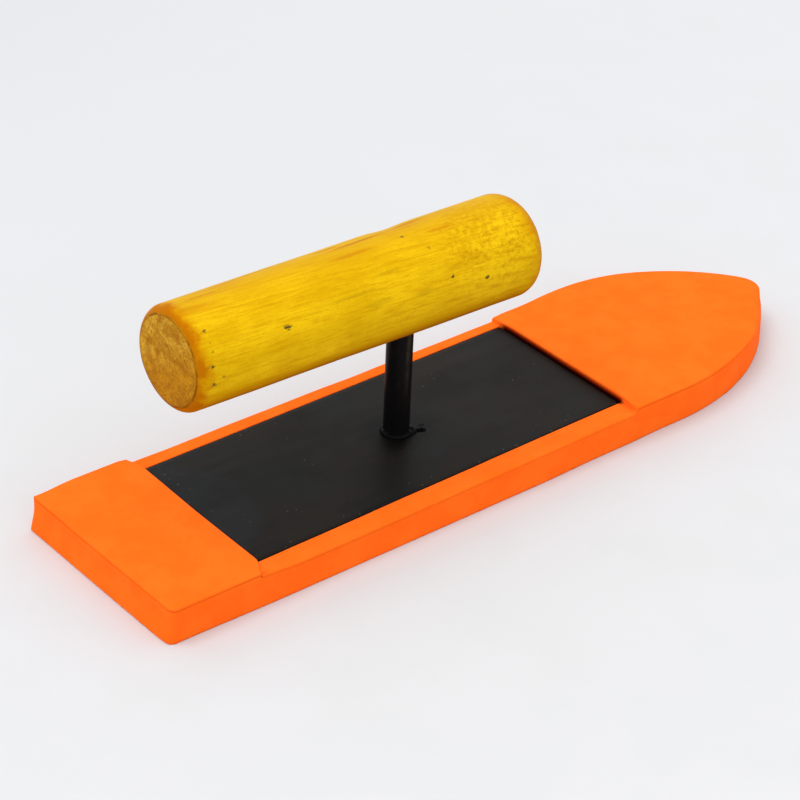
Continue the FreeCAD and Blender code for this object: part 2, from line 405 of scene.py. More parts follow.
def black_paint_material(name, wobble, dullest, gloss):
    """Thick black paint on the post and the weld, with slow waves, rubbed places and a painted reflection up
    the post.
    """
    n = Nodes(name)
    runs = n.noise(n.coords, 180, 3, 0.6, 0.0, (1, 1, 0.3))
    worn = n.noise(n.coords, 420, 3, 0.7)
    colour = n.mix(n.ramp(worn, 0.55, 0.75), (0.0036, 0.0036, 0.0040), (0.0075, 0.0055, 0.0045))
    # painted reflection: a lighter broken stripe up the post's right side, where it would mirror the bright
    # room
    offset = n.vector("SUBTRACT", n.coords, (POST_FOOT.x - 0.9 * MM, POST_FOOT.y - POST_RADIUS, 0))
    across, _, height = n.parts(offset)
    stripe = n.both(n.ramp(n.maths("ABSOLUTE", across), 1.3 * MM, 0.4 * MM), n.ramp_mm(height, 24, 44))
    broken = n.ramp(n.noise(n.coords, 260, 3, 0.65, 0.0, (1, 1, 0.25)), 0.32, 0.6)
    near = n.ramp(n.parts(offset)[1], 3 * MM, 1.5 * MM)
    colour = n.mix(n.both(stripe, near, broken), colour, (0.026, 0.024, 0.015))
    rough = n.ramp(worn, 0.35, 0.7, dullest - 0.14, dullest)
    n.set(Base_Color=colour, Roughness=rough, Specular_IOR_Level=gloss,
          Normal=n.bump(runs, wobble, 0.6))
    return n.material


def burnt_material():
    """Burnt paint: sooty black, dead matt and crazed."""
    n = Nodes("burnt_paint")
    crazed = n.noise(n.coords, 1500, 4, 0.7)
    colour = n.mix(n.ramp(crazed, 0.5, 0.7), (0.0012, 0.0011, 0.0010), (0.0036, 0.0032, 0.0028))
    n.set(Base_Color=colour, Roughness=n.ramp(crazed, 0.3, 0.7, 0.75, 0.95), Specular_IOR_Level=0.012,
          Normal=n.bump(crazed, 0.1 * MM, 0.7))
    return n.material


def adhesive_material():
    """Dried contact adhesive, amber and stringy."""
    n = Nodes("contact_adhesive")
    strings = n.noise(n.coords, 220, 4, 0.6, 1.2, (0.3, 1, 1))
    colour = n.mix(n.ramp(strings, 0.4, 0.6), (0.50, 0.36, 0.14), (0.68, 0.55, 0.30))
    n.set(Base_Color=colour, Roughness=n.ramp(strings, 0.3, 0.7, 0.35, 0.6), Normal=n.bump(strings, 0.1 * MM))
    return n.material


REDDISH, AMBER, OLIVE = (0.42, 0.15, 0.001), (0.49, 0.19, 0.001), (0.40, 0.245, 0.003)


def drawn_marks(draw, count, *ranges):
    """Marks on the handle, with every value drawn evenly from its range: along it from its middle and
    round it from the top towards the right side, half length, half width, and how dark."""
    return [tuple(draw.uniform(*limits) for limits in ranges) for _ in range(count)]


def handle_marks():
    """Chips inside the heel rim, a split half way to the heel, and a few specks on the toe half."""
    draw = random.Random(4)
    end = HALF_HANDLE / MM
    chips = drawn_marks(draw, 9, (3 - end, 9 - end), (30, 100), (0.45, 0.9), (0.4, 0.8), (0.4, 1.0))
    split = drawn_marks(draw, 3, (-end / 2 - 3, -end / 2 + 3), (55, 65), (1.5, 2.4), (0.4, 0.8), (0.5, 1.0))
    specks = drawn_marks(draw, 4, (15, end - 15), (0, 90), (0.8, 1.2), (0.4, 0.8), (0.4, 0.9))
    return chips + split + specks


def handle_streaks():
    """Long reddish and amber streaks along the top, and olive ones along the right side."""
    draw = random.Random(5)
    end = HALF_HANDLE / MM
    top = drawn_marks(draw, 10, (8 - end, end / 2), (-20, 16), (5, 12), (0.6, 1.1), (0.35, 0.8))
    side = drawn_marks(draw, 4, (-end / 2, end / 2), (40, 80), (6, 15), (0.5, 1.2), (0.3, 0.45))
    tinted = [(mark, REDDISH if i % 2 else AMBER) for i, mark in enumerate(top)]
    return tinted + [(mark, OLIVE) for mark in side]


def mark_mask(n, place, along, around, half_length, half_width, depth):
    """depth inside one mark on the handle's surface, fading to 0 at its edge."""
    angle = math.radians(around)
    radius = (HANDLE_HEEL_RADIUS + HANDLE_TOE_RADIUS) / 2
    centre = (along * MM, -radius * math.sin(angle), radius * math.cos(angle))
    offset = n.vector("SUBTRACT", place, centre)
    scale = (1 / (half_length * MM), 1 / (half_width * MM), 1 / (half_width * MM))
    return n.ramp(n.vector("LENGTH", n.vector("MULTIPLY", offset, scale)), 0.45, 1.15, depth, 0)


def smudge_round(n, place, reach):
    """1 near a place, fading to 0 at its reach."""
    return n.ramp(n.vector("LENGTH", n.vector("SUBTRACT", n.coords, place)), 0.35 * reach, reach, 1, 0)


def wood_grain(n, x, y, z):
    """The wood's colour away from its ends, with its fibres and tool marks, which also shape it."""
    # grain that runs the handle's length, a few degrees off its axis
    turned = n.tree.nodes.new("ShaderNodeVectorRotate")
    turned.rotation_type = "Z_AXIS"
    n.put(turned.inputs["Vector"], n.coords)
    turned.inputs["Angle"].default_value = math.radians(3)
    lie = turned.outputs[0]
    fibres = n.noise(lie, 900, 4, 0.65, 0.2, (0.045, 1, 1))
    dashes = n.noise(lie, 700, 3, 0.7, 0.0, (0.16, 1, 1))
    growth = n.noise(lie, 150, 4, 0.6, 0.6, (0.09, 1, 1))
    clouds = n.noise(n.coords, 70, 4, 0.65, 0.3, (0.45, 1, 1))
    chatter = n.noise(lie, 420, 3, 0.6, 0.0, (1, 0.3, 0.3))
    colour = n.mix(n.ramp(clouds, 0.34, 0.66), (0.625, 0.365, 0.0022), (0.75, 0.462, 0.0050))
    colour = n.mix(n.ramp(fibres, 0.47, 0.68, 0, 0.6), colour, (0.54, 0.265, 0.0010))
    colour = n.mix(n.ramp(chatter, 0.6, 0.8, 0, 0.3), colour, (0.80, 0.53, 0.005))
    threads = n.noise(lie, 2300, 3, 0.6, 0.0, (0.06, 1, 1))
    colour = n.mix(n.ramp(threads, 0.5, 0.68, 0, 0.42), colour, (0.47, 0.215, 0.0010))
    fine = n.noise(n.coords, 1700, 2, 0.6)
    colour = n.mix(n.ramp(fine, 0.5, 0.7, 0, 0.3), colour, (0.46, 0.22, 0.001))
    # darker growth lines round the middle, and short dashes and brown mottling on the toe half
    colour = n.mix(n.ramp(growth, 0.56, 0.7, 0, 0.45), colour, (0.48, 0.235, 0.0010))
    toe_half = n.ramp_mm(x, 5, 40)
    colour = n.mix(n.both(n.ramp(dashes, 0.5, 0.66, 0, 0.42), toe_half), colour, (0.46, 0.205, 0.001))
    pitted = n.noise(n.coords, 620, 4, 0.75)
    around_knot = smudge_round(n, KNOT_PLACE, KNOT_REACH)
    colour = n.mix(n.both(n.ramp(pitted, 0.5, 0.36), around_knot, 0.4), colour, (0.82, 0.55, 0.008))
    colour = n.mix(n.both(n.ramp(pitted, 0.52, 0.64), around_knot, 0.5), colour, (0.36, 0.155, 0.002))
    # redder streaks high on the heel half
    high = n.both(n.ramp_mm(z, 12.5, 17), n.ramp_mm(y, -9, -3))
    streaks = n.both(n.ramp(growth, 0.45, 0.60), n.both(high, n.ramp_mm(x, 25, -10)))
    colour = n.mix(n.both(streaks, 0.75), colour, (0.52, 0.20, 0.0015))
    # darker amber underneath: partly where the lacquer gathered, partly painted shade of the handle's
    # underside
    low = n.ramp_mm(z, -4, -13)
    colour = n.mix(n.both(low, 0.95), colour, (0.405, 0.142, 0.0005))
    under = n.ramp_mm(z, -10.5, -14)
    colour = n.mix(n.both(under, 0.6), colour, (0.30, 0.080, 0.0004))
    # painted shade: the top a little darker, evening out the stronger light that falls on it
    crest = n.both(n.ramp_mm(z, 13.5, 17.5), n.ramp_mm(y, -9, 2))
    colour = n.mix(n.both(crest, 0.6), colour, (0.53, 0.275, 0.0008))
    return colour, fibres, chatter


def wood_ends(n, colour, x, y, z):
    """Adds end grain, orange rims and a scored line. Also gives the ends' mask and their speckle."""
    radial = n.vector("LENGTH", n.vector("MULTIPLY", n.coords, (0, 1, 1)))
    half = HALF_HANDLE
    heel_end = n.both(n.ramp(x, -half + 2.2 * MM, -half + 1.4 * MM), n.ramp_mm(radial, 15.5, 15.1))
    toe_end = n.ramp(x, half - 3.4 * MM, half - 1.2 * MM)
    ends = n.maths("MAXIMUM", heel_end, toe_end)
    speckle = n.noise(n.coords, 1300, 4, 0.7)
    blotch = n.noise(n.coords, 230, 4, 0.65, 0.6)
    upper = n.ramp(n.maths("ADD", z, n.both(y, 0.5)), -8 * MM, 8 * MM)
    pale = n.mix(upper, (0.51, 0.215, 0.010), (0.60, 0.325, 0.030))
    grain = n.mix(n.ramp(blotch, 0.32, 0.66), (0.34, 0.125, 0.0070), pale)
    grain = n.mix(n.ramp(speckle, 0.48, 0.64, 0, 0.6), grain, (0.24, 0.080, 0.004))
    pepper = n.ramp(n.cells(n.coords, 620), 0.12, 0.2, 1, 0)
    grain = n.mix(n.both(pepper, n.ramp(blotch, 0.45, 0.6, 0, 0.7)), grain, (0.11, 0.045, 0.006))
    colour = n.mix(n.both(ends, 0.95), colour, grain)
    # orange rims where the lacquer built up, fading unevenly along the handle
    uneven = n.both(n.maths("SUBTRACT", n.noise(n.coords, 160, 3, 0.65), 0.5), 9 * MM)
    along = n.maths("ADD", x, uneven)
    off_end = n.ramp_mm(radial, 15.1, 15.6)
    band = n.both(n.ramp(along, -half + 6.2 * MM, -half + 1.6 * MM), off_end)
    colour = n.mix(n.both(band, 0.85), colour, (0.50, 0.185, 0.0010))
    edge = n.both(n.ramp(along, -half + 3.4 * MM, -half + 0.8 * MM), off_end)
    colour = n.mix(n.both(edge, 0.75), colour, (0.40, 0.105, 0.0008))
    toe_band = n.both(n.ramp(along, half - 10 * MM, half - 2 * MM), n.ramp_mm(radial, 12, 14.5))
    colour = n.mix(n.both(toe_band, 0.8), colour, (0.48, 0.165, 0.0010))
    # a thin broken line where the end was scored
    line = n.both(n.ramp_mm(radial, 14.5, 15.0), n.ramp_mm(radial, 15.7, 15.2))
    line = n.both(line, n.ramp(x, -half + 1.6 * MM, -half + 0.8 * MM), n.ramp(blotch, 0.36, 0.6, 0.15, 0.85))
    return n.mix(line, colour, (0.17, 0.045, 0.001)), ends, speckle


def wood_marks(n, colour):
    """Adds the streaks and the marks, with ragged edges. Also gives the marks' mask."""
    shaken = n.vector("SUBTRACT", n.noise(n.coords, 1100, output="Color"), (0.5, 0.5, 0.5))
    wobble = n.vector("MULTIPLY", shaken, (1.6 * MM, MM, MM))
    ragged = n.vector("ADD", n.coords, wobble)
    for mark, tint in handle_streaks():
        colour = n.mix(mark_mask(n, ragged, *mark), colour, tint)
    marks = 0.0
    for mark in handle_marks():
        marks = n.maths("MAXIMUM", marks, mark_mask(n, ragged, *mark))
    return n.mix(marks, colour, (0.052, 0.034, 0.012)), marks


def wood_material():
    """Pale softwood under yellow lacquer, its end grain brown and its rims orange."""
    n = Nodes("lacquered_wood")
    x, y, z = n.parts(n.coords)
    colour, fibres, chatter = wood_grain(n, x, y, z)
    colour, ends, speckle = wood_ends(n, colour, x, y, z)
    colour, marks = wood_marks(n, colour)
    rough = n.ramp(fibres, 0.3, 0.7, 0.36, 0.5)
    rough = n.maths("ADD", rough, n.both(ends, 0.25), clamp=True)
    relief = n.both(n.maths("ADD", fibres, chatter), 0.5)
    relief = n.maths("SUBTRACT", relief, n.both(marks, 1.5))
    rough_end = n.bump(n.both(speckle, ends), 0.35 * MM, 0.8)
    n.set(Base_Color=colour, Roughness=rough, Specular_IOR_Level=0.02, Specular_Tint=(1, 0.78, 0.1, 1),
          Normal=n.bump(relief, 0.12 * MM, 0.6, rough_end))
    return n.material


def floor_material():
    """Plain paper with faint clouds, greyer and cooler towards the far left as painted shade, where the light
    falls off.
    """
    n = Nodes("studio_floor")
    # painted shade, darkest at the far left corner
    away = n.vector("LENGTH", n.vector("SUBTRACT", n.coords, DIM_CORNER))
    tone = n.maths("POWER", n.maths("MULTIPLY", away, 1 / 0.65, clamp=True), 0.5)
    clouds = n.noise(n.coords, 22, 4, 0.6)
    colour = n.mix(tone, (0.515, 0.530, 0.556), (0.606, 0.606, 0.614))
    colour = n.mix(n.ramp(clouds, 0.4, 0.62, 0, 0.22), colour, (0.55, 0.565, 0.56))
    n.set(Base_Color=colour, Roughness=0.95, Specular_IOR_Level=0.05)
    return n.material


# ---- foam pad ----
# fractions of a rail's width, and heights on the pad's side as shares of the rail's height
RAIL_SHARES = (0, 0.25, 0.5, 0.75)
SIDE_SHARES = (0.85, 0.7, 0.52, 0.34, 0.18, 0.07)
# the knife's line under the rim: distance down from the rim's round, and whether it is the groove
UNDER_RIM = ((0.12 * MM, 0), (0.4 * MM, 1), (0.75 * MM, 0))
POCKET_ROUND = 0.45 * MM
ARC_STEPS = 4
QUARTER_TURNS = [math.pi / 2 * i / ARC_STEPS for i in range(ARC_STEPS + 1)]

# how far parts of the pad lean out of its plain outline
HEEL_FOOT_OUT = 1.15 * MM
SIDE_FOOT_OUT = 0.6 * MM
SIDE_FOOT_IN = 0.45 * MM
LEFT_TOE_FULL = 0.5 * MM
RIGHT_TOE_FULL = 0.45 * MM
TOE_WALL_UNDERCUT = 1.1 * MM
TOE_WALL_ENDS_BACK = 1.1 * MM
HEEL_WALL_ENDS_BACK = {1: 1.7 * MM, -1: 3.4 * MM}
TIP_FOOT_OUT = 0.65 * MM
TIP_RIM_WORN = 1.15 * MM
TIP_WEAR_WAY = Vector((0.745, -0.667, 0))


def toe_arc(side):
    """Start along X, radius and centre's Y of one side's toe arc."""
    length = LEFT_TOE_LENGTH if side > 0 else RIGHT_TOE_LENGTH
    reach = length - TIP_RADIUS
    radius = (reach ** 2 + HALF_WIDTH ** 2 - TIP_RADIUS ** 2) / (2 * (HALF_WIDTH - TIP_RADIUS))
    return PAD_HIGH.x - length, radius, side * (HALF_WIDTH - radius)


def outline(side, x):
    """The outline's point at x on the left (side 1) or right (side -1), and its outward normal."""
    start, radius, centre = toe_arc(side)
    join = TIP + TIP_RADIUS * (TIP - start) / (radius - TIP_RADIUS)
    if x <= start:
        return Vector((x, side * HALF_WIDTH)), Vector((0, side))
    if x <= join:
        y = centre + side * math.sqrt(max(radius ** 2 - (x - start) ** 2, 0))
        return Vector((x, y)), Vector((x - start, y - centre)).normalized()
    y = side * math.sqrt(max(TIP_RADIUS ** 2 - (x - TIP) ** 2, 0))
    return Vector((x, y)), Vector((x - TIP, y)).normalized()


def shear(x):
    """How far a section leans along X per metre of Y: the heel's skew, then the plate's turn."""
    heel = -HEEL_SKEW / (2 * HALF_WIDTH)
    turned = -math.tan(PLATE_TURN)
    lean = heel + (turned - heel) * fade(HEEL, HEEL_WALL, x)
    return lean * (1 - fade(TOE_WALL, TOE_WALL + 30 * MM, x))


def pocket_y(side, x):
    """Y of the pocket's left or right wall at x."""
    middle = PLATE_CENTRE.y + (x - PLATE_CENTRE.x) * math.tan(PLATE_TURN)
    return middle + side * (PLATE_WIDTH / 2 + POCKET_GAP)


def rail_edge(side, x):
    """How far a rail's outer edge stands above its inner edge."""
    if side < 0:
        return (-0.5 + 1.2 * (1 - fade(-111 * MM, -98 * MM, x)) + 1.5 * fade(-90 * MM, 50 * MM, x)) * MM
    ends = -0.3 * math.exp(-((x + 17 * MM) / (9 * MM)) ** 2)
    ends += 0.25 * (1 - fade(-108 * MM, -94 * MM, x)) + 0.25 * fade(-6 * MM, 14 * MM, x)
    return (0.4 * fade(-110 * MM, -60 * MM, x) + ends) * MM


def back_height(zone, x, y):
    """Height of the pad's back in one zone."""
    if zone == "heel":
        crown = 0.9 * MM * fade(HEEL + 2 * MM, HEEL + 16 * MM, x) * fade(-5 * MM, HALF_WIDTH, y)
        worn = 0.45 * MM * fade(HEEL_WALL - 5 * MM, HEEL_WALL, x) * fade(HALF_WIDTH - 9 * MM, HALF_WIDTH, y)
        return HEEL_HEIGHT + crown - worn
    if zone == "toe":
        left = fade(-HALF_WIDTH, HALF_WIDTH, y)
        sunk = 0.75 * MM * left * (1 - fade(TOE_WALL + 8 * MM, TOE_WALL + 27 * MM, x))
        sunk += 0.35 * MM * left * (1 - fade(TOE_WALL + MM, TOE_WALL + 5 * MM, x))
        return TOE_HEIGHT + 0.3 * MM * left - sunk
    side = 1 if y > 0 else -1
    share = (y - pocket_y(side, x)) / (side * HALF_WIDTH - pocket_y(side, x))
    return RAIL_HEIGHT + rail_edge(side, x) * min(max(share, 0), 1)


def back_columns(x):
    """The back's columns between the rims, left to right: Y as on a straight section, and kind."""
    x = min(max(x, HEEL_WALL), TOE_WALL)
    left, right = pocket_y(1, x), pocket_y(-1, x)
    outer = HALF_WIDTH - RIM_ROUND
    columns = [(outer + (left + POCKET_ROUND - outer) * share, "rail", 0) for share in RAIL_SHARES]
    columns += [(left + POCKET_ROUND * (1 - math.sin(t)), "rail", POCKET_ROUND * (1 - math.cos(t)))
                for t in QUARTER_TURNS]
    columns += [(y, "pocket", 0) for y in spread(left, right, 34)]
    columns += [(right - POCKET_ROUND * (1 - math.cos(t)), "rail", POCKET_ROUND * (1 - math.sin(t)))
                for t in QUARTER_TURNS]
    columns += [(right - POCKET_ROUND - (outer + right - POCKET_ROUND) * share, "rail", 0)
                for share in (0.2, 0.4, 0.6, 0.8, 1)]
    return columns


def rounded(radius, ahead):
    """How far a rounded corner is drawn in at a distance ahead of its end."""
    return radius - math.sqrt(radius ** 2 - max(radius - ahead, 0) ** 2)


def rim_round(side, x, inset):
    """The rim's radius: small at a rounded end, and wide where the toe's near edge is worn."""
    worn = 2.4 * MM * band((116 * MM, 132 * MM), (TIP - 2 * MM, TIP + 6 * MM), x)
    return RIM_ROUND - 0.7 * inset + (worn if side < 0 else 0)


def pad_ring(x, zone, drop=0.0):
    """One closed ring of points round the pad: back, right side, sole and left side.

    drop lowers the back to round a wall's top.
    """
    places = {}
    inset = rounded(RIM_ROUND, x - HEEL)
    groove = GROOVE_DEPTH * (1 - fade(112 * MM, 128 * MM, x))
    for side in (1, -1):
        place, normal = outline(side, x)
        place = Vector((place.x + shear(x) * place.y, place.y))
        places[side] = (place - normal * rounded(HEEL_CORNERS[side], x - HEEL), normal)
    columns = back_columns(x)
    first, last = columns[0][0], columns[-1][0]
    rims = {side: place - normal * rim_round(side, x, inset) for side, (place, normal) in places.items()}
    back, sole = [], []
    for y, kind, sink in columns:
        share = (first - y) / (first - last)
        flat = rims[1].lerp(rims[-1], share)
        z = back_height(zone, x, flat.y if zone != "rails" else y) - drop - inset
        if zone == "rails":
            z = POCKET_FLOOR if kind == "pocket" else z - sink
        back.append(Vector((flat.x, flat.y, z)))
        sole.append(Vector((flat.x, flat.y, inset)))
    at_rail = min(max(x, HEEL_WALL), TOE_WALL)
    rail_rim = {side: RAIL_HEIGHT + rail_edge(side, at_rail) - RIM_ROUND for side in (1, -1)}
    sides = {}
    for side in (1, -1):
        place, normal = places[side]
        rim = rim_round(side, x, inset)
        edge = back[0] if side > 0 else back[-1]
        points = []
        for turn in QUARTER_TURNS[1:]:
            flat = place - normal * rim * (1 - math.sin(turn))
            points.append(Vector((*flat, edge.z - rim * (1 - math.cos(turn)))))
        level = points[-1].z
        for down, deep in UNDER_RIM:
            points.append(Vector((*(place - normal * groove * deep), level - down)))
        foot = rail_rim[side] - UNDER_RIM[-1][0]
        points.append(Vector((*place, (points[-1].z + foot * SIDE_SHARES[0]) / 2)))
        points += [Vector((*place, max(foot * share, inset + 0.3 * MM))) for share in SIDE_SHARES]
        points.append(Vector((*(place - normal * 0.1 * MM), inset + 0.1 * MM)))
        sides[side] = points
    return back + sides[-1] + sole[::-1] + sides[1][::-1]


def pad_rings():
    """Every ring from the heel's end to the tip."""
    rings = []
    end = HEEL_CORNERS[-1]
    for turn in spread(0, math.pi / 2, 10):
        rings.append(pad_ring(HEEL + end * (1 - math.cos(turn)), "heel"))
    rings += [pad_ring(x, "heel") for x in spread(HEEL + end, HEEL_WALL - WALL_ROUND, 24)[1:]]
    rings += [pad_ring(HEEL_WALL - WALL_ROUND * (1 - math.sin(t)), "heel", WALL_ROUND * (1 - math.cos(t)))
              for t in QUARTER_TURNS[1:]]
    rings += [pad_ring(x, "rails") for x in spread(HEEL_WALL + WALL_LEAN, TOE_WALL - WALL_LEAN, 110)]
    rings += [pad_ring(TOE_WALL + TOE_WALL_ROUND * (1 - math.cos(t)), "toe",
                       TOE_WALL_ROUND * (1 - math.sin(t))) for t in QUARTER_TURNS]
    turn = PAD_HIGH.x - 24 * MM
    rings += [pad_ring(x, "toe") for x in spread(TOE_WALL + TOE_WALL_ROUND, turn, 44)[1:]]
    steps = 30
    for i in range(1, steps + 1):
        angle = math.pi / 2 * i / steps
        rings.append(pad_ring(turn + (PAD_HIGH.x - turn) * math.sin(angle), "toe"))
    return rings


def foam_shift(place, normal):
    """Slow swells and small dimples of the cut foam, with its sides drawn in a little."""
    shift = 0.12 * MM * wander(place, 34 * MM, 1) + 0.035 * MM * wander(place, 7 * MM, 2)
    upright = 1 - fade(0.2, 0.6, abs(normal.z))
    outside = fade(31 * MM, 36 * MM, abs(place.y)) + fade(80 * MM, 90 * MM, abs(place.x))
    top = HEEL_HEIGHT if place.x < HEEL_WALL else TOE_HEIGHT if place.x > TOE_WALL else RAIL_HEIGHT
    level = min(max(place.z / top, 0), 1)
    hollow = (1 - math.exp(-(1 - level) / 0.07)) * (1 - math.exp(-level / 0.25))
    shift -= 0.3 * MM * hollow * upright * min(outside, 1)
    if normal.z < -0.5:
        shift = min(shift, 0.0) * 0.3
    return shift


def flare_foot(place):
    """The spread or drawn-in foot of the pad's sides, and the fuller sides of its toe."""
    foot = 1 - fade(0, 9 * MM, place.z)
    at_heel = 1 - fade(0, 6 * MM, place.x - HEEL)
    right_corner = fade(-HALF_WIDTH - 10 * MM, -HALF_WIDTH + 8 * MM, place.y)
    near = 1 - fade(-HALF_WIDTH, -HALF_WIDTH + 6 * MM, place.y)
    spread_foot = band((-145 * MM, -105 * MM), (5 * MM, 35 * MM), place.x)
    drawn_in = band((45 * MM, 65 * MM), (95 * MM, 112 * MM), place.x)
    full_right = band((108 * MM, 122 * MM), (128 * MM, 141 * MM), place.x) * fade(0, 8 * MM, -place.y)
    full_left = band((66 * MM, 80 * MM), (105 * MM, 125 * MM), place.x) * fade(0, 25 * MM, place.y)
    out_y = (SIDE_FOOT_IN * drawn_in - SIDE_FOOT_OUT * spread_foot) * near * foot
    out_y += LEFT_TOE_FULL * full_left - RIGHT_TOE_FULL * full_right
    return Vector((-HEEL_FOOT_OUT * foot * at_heel * right_corner, out_y, 0))


def flare_walls(place):
    """How far, along X, the walls of the two blocks lean and curve."""
    # the toe's wall leans back under its lip
    under = 1 - fade(POCKET_FLOOR, TOE_HEIGHT - TOE_WALL_ROUND, place.z)
    inside = 1 - fade(HALF_WIDTH - 2.5 * MM, HALF_WIDTH - 0.5 * MM, abs(place.y))
    at_wall = band((TOE_WALL - 2.5 * MM, TOE_WALL), (TOE_WALL + 0.01 * MM, TOE_WALL + MM), place.x)
    above = fade(POCKET_FLOOR - 2 * MM, POCKET_FLOOR - 0.1 * MM, place.z)
    out = TOE_WALL_UNDERCUT * under * inside * at_wall * above
    # its ends curve towards the heel
    ends = fade(28 * MM, 37.5 * MM, abs(place.y))
    step = band((TOE_WALL - 3 * MM, TOE_WALL - 0.1 * MM), (TOE_WALL + 2 * MM, TOE_WALL + 7 * MM), place.x)
    out -= TOE_WALL_ENDS_BACK * ends * step * above
    # the heel's wall was cut round at both ends
    ends = HEEL_WALL_ENDS_BACK[-1] * fade(30.5 * MM, 38.5 * MM, -place.y)
    ends += HEEL_WALL_ENDS_BACK[1] * fade(32.5 * MM, 38 * MM, place.y)
    step = band((HEEL_WALL - 9 * MM, HEEL_WALL - 0.3 * MM),
                (HEEL_WALL + 0.4 * MM, HEEL_WALL + 10 * MM), place.x)
    return out - ends * step * above


def flare_tip(place):
    """The tip's rim is worn back, and its foot stands proud."""
    at_tip = fade(PAD_HIGH.x - 26 * MM, PAD_HIGH.x - 7 * MM, place.x) * (1 - fade(2 * MM, 9 * MM, place.y))
    level = place.z / TOE_HEIGHT
    return TIP_WEAR_WAY * (TIP_FOOT_OUT * (1 - level) - TIP_RIM_WORN * fade(0.55, 1, level)) * at_tip


def flare(place):
    """How far a point of the pad leans out of its plain outline."""
    return flare_foot(place) + Vector((flare_walls(place), 0, 0)) + flare_tip(place)


def close_heel(bm, ring):
    """Fills the heel's end with a grid, grooved under its rim as the sides are."""
    columns = len(back_columns(HEEL))
    rows = len(ring) // 2 - columns
    right = ring[columns:columns + rows]
    left = ring[2 * columns + rows:][::-1]
    grooves = [0] * ARC_STEPS + [deep for _, deep in UNDER_RIM]
    grid = [ring[:columns]]
    for i, (first, last) in enumerate(zip(left, right)):
        sunk = GROOVE_DEPTH * (grooves[i] if i < len(grooves) else 0)
        row = [first]
        for k in range(1, columns - 1):
            share = (grid[0][k].co.y - grid[0][0].co.y) / (grid[0][-1].co.y - grid[0][0].co.y)
            point = first.co.lerp(last.co, share)
            row.append(bm.verts.new((point.x + sunk, point.y, point.z)))
        grid.append(row + [last])
    grid.append(ring[columns + rows:2 * columns + rows][::-1])
    for upper, lower in zip(grid, grid[1:]):
        for k in range(columns - 1):
            bm.faces.new((upper[k], upper[k + 1], lower[k + 1], lower[k]))


def join_rings(bm, near, far):
    """Faces between two closed rings of as many vertices."""
    for i in range(len(near)):
        j = (i + 1) % len(near)
        bm.faces.new((near[i], near[j], far[j], far[i]))


def make_foam_pad(material):
    """The whole pad as one closed skin of rings, with its irregularities."""
    bm = bmesh.new()
    rings = [[bm.verts.new(p) for p in ring] for ring in pad_rings()]
    for near, far in zip(rings, rings[1:]):
        join_rings(bm, near, far)
    close_heel(bm, rings[0])
    bmesh.ops.remove_doubles(bm, verts=bm.verts, dist=0.002 * MM)
    bmesh.ops.dissolve_degenerate(bm, edges=bm.edges, dist=0.002 * MM)
    for vertex in bm.verts:
        vertex.co += flare(vertex.co)
    pad = new_object("foam_pad_soft", bm, material)
    displace(pad, foam_shift)
    return pad


# ---- plate ----
def make_plate(material):
    """Sheared sheet steel, very slightly buckled by the weld, with its edges eased."""
    bm = bmesh.new()
    bmesh.ops.create_grid(bm, x_segments=90, y_segments=36, size=0.5)
    thickness = PLATE_HIGH.z - PLATE_LOW.z
    bmesh.ops.scale(bm, vec=(PLATE_LENGTH, PLATE_WIDTH, 1), verts=bm.verts)
    corners = [v for v in bm.verts if len(v.link_faces) == 1]
    bmesh.ops.bevel(bm, geom=corners, offset=PLATE_CORNER, segments=4, profile=0.5, affect="VERTICES")
    top = bm.faces[:]
    raised = bmesh.ops.extrude_face_region(bm, geom=top)
    up = [g for g in raised["geom"] if isinstance(g, bmesh.types.BMVert)]
    bmesh.ops.translate(bm, vec=(0, 0, thickness), verts=up)
    middle = Matrix.Translation((PLATE_CENTRE.x, PLATE_CENTRE.y, PLATE_LOW.z))
    turn = middle @ Matrix.Rotation(PLATE_TURN, 4, "Z")
    bmesh.ops.transform(bm, matrix=turn, verts=bm.verts)
    plate = new_object("plate_sheet", bm, material)
    soften_edges(plate, 0.14 * MM, 2)
    bore(plate, 3.6 * MM, PLATE_LOW.z - 2 * MM, PLATE_HIGH.z + 2 * MM)
    for vertex in plate.data.vertices:
        away = (vertex.co - POST_FOOT).to_2d().length
        buckle = 0.10 * MM * wander(Vector((vertex.co.x, vertex.co.y, 0)), 55 * MM, 5)
        vertex.co.z += buckle * fade(8 * MM, 25 * MM, away)
    plate.data.update()
    return plate


# ---- post and weld ----
def make_post(material):
    """Round bar that leans a little towards the heel, not quite even, with its foot in the plate."""
    bm = bmesh.new()
    around = 64
    top = POST_HIGH.z - 0.5 * MM
    foot = PLATE_HIGH.z - 0.6 * MM
    levels = [(foot, 1.0)] + [(z, 1.0) for z in spread(foot + 0.4 * MM, top - 1.5 * MM, 60)]
    levels += [(top - 0.7 * MM, 0.86), (top, 0.68)]
    rings = []
    for z, share in levels:
        middle = post_axis(z)
        ring = []
        for angle in circle(around):
            out = heading(angle)
            place = Vector((out.x * 5 * MM, out.y * 5 * MM, z * 0.5))
            radius = POST_RADIUS * share + 0.05 * MM * wander(place, 5 * MM, 11)
            ring.append(bm.verts.new(middle + out * radius))
        rings.append(ring)
    for near, far in zip(rings, rings[1:]):
        join_rings(bm, near, far)
    for ring in (rings[0], rings[-1]):
        bmesh.ops.poke(bm, faces=[bm.faces.new(ring)])
    return new_object("round_post", bm, material)


LUMP_ANGLE = -0.62  # of the bead's lump, from +X round the post


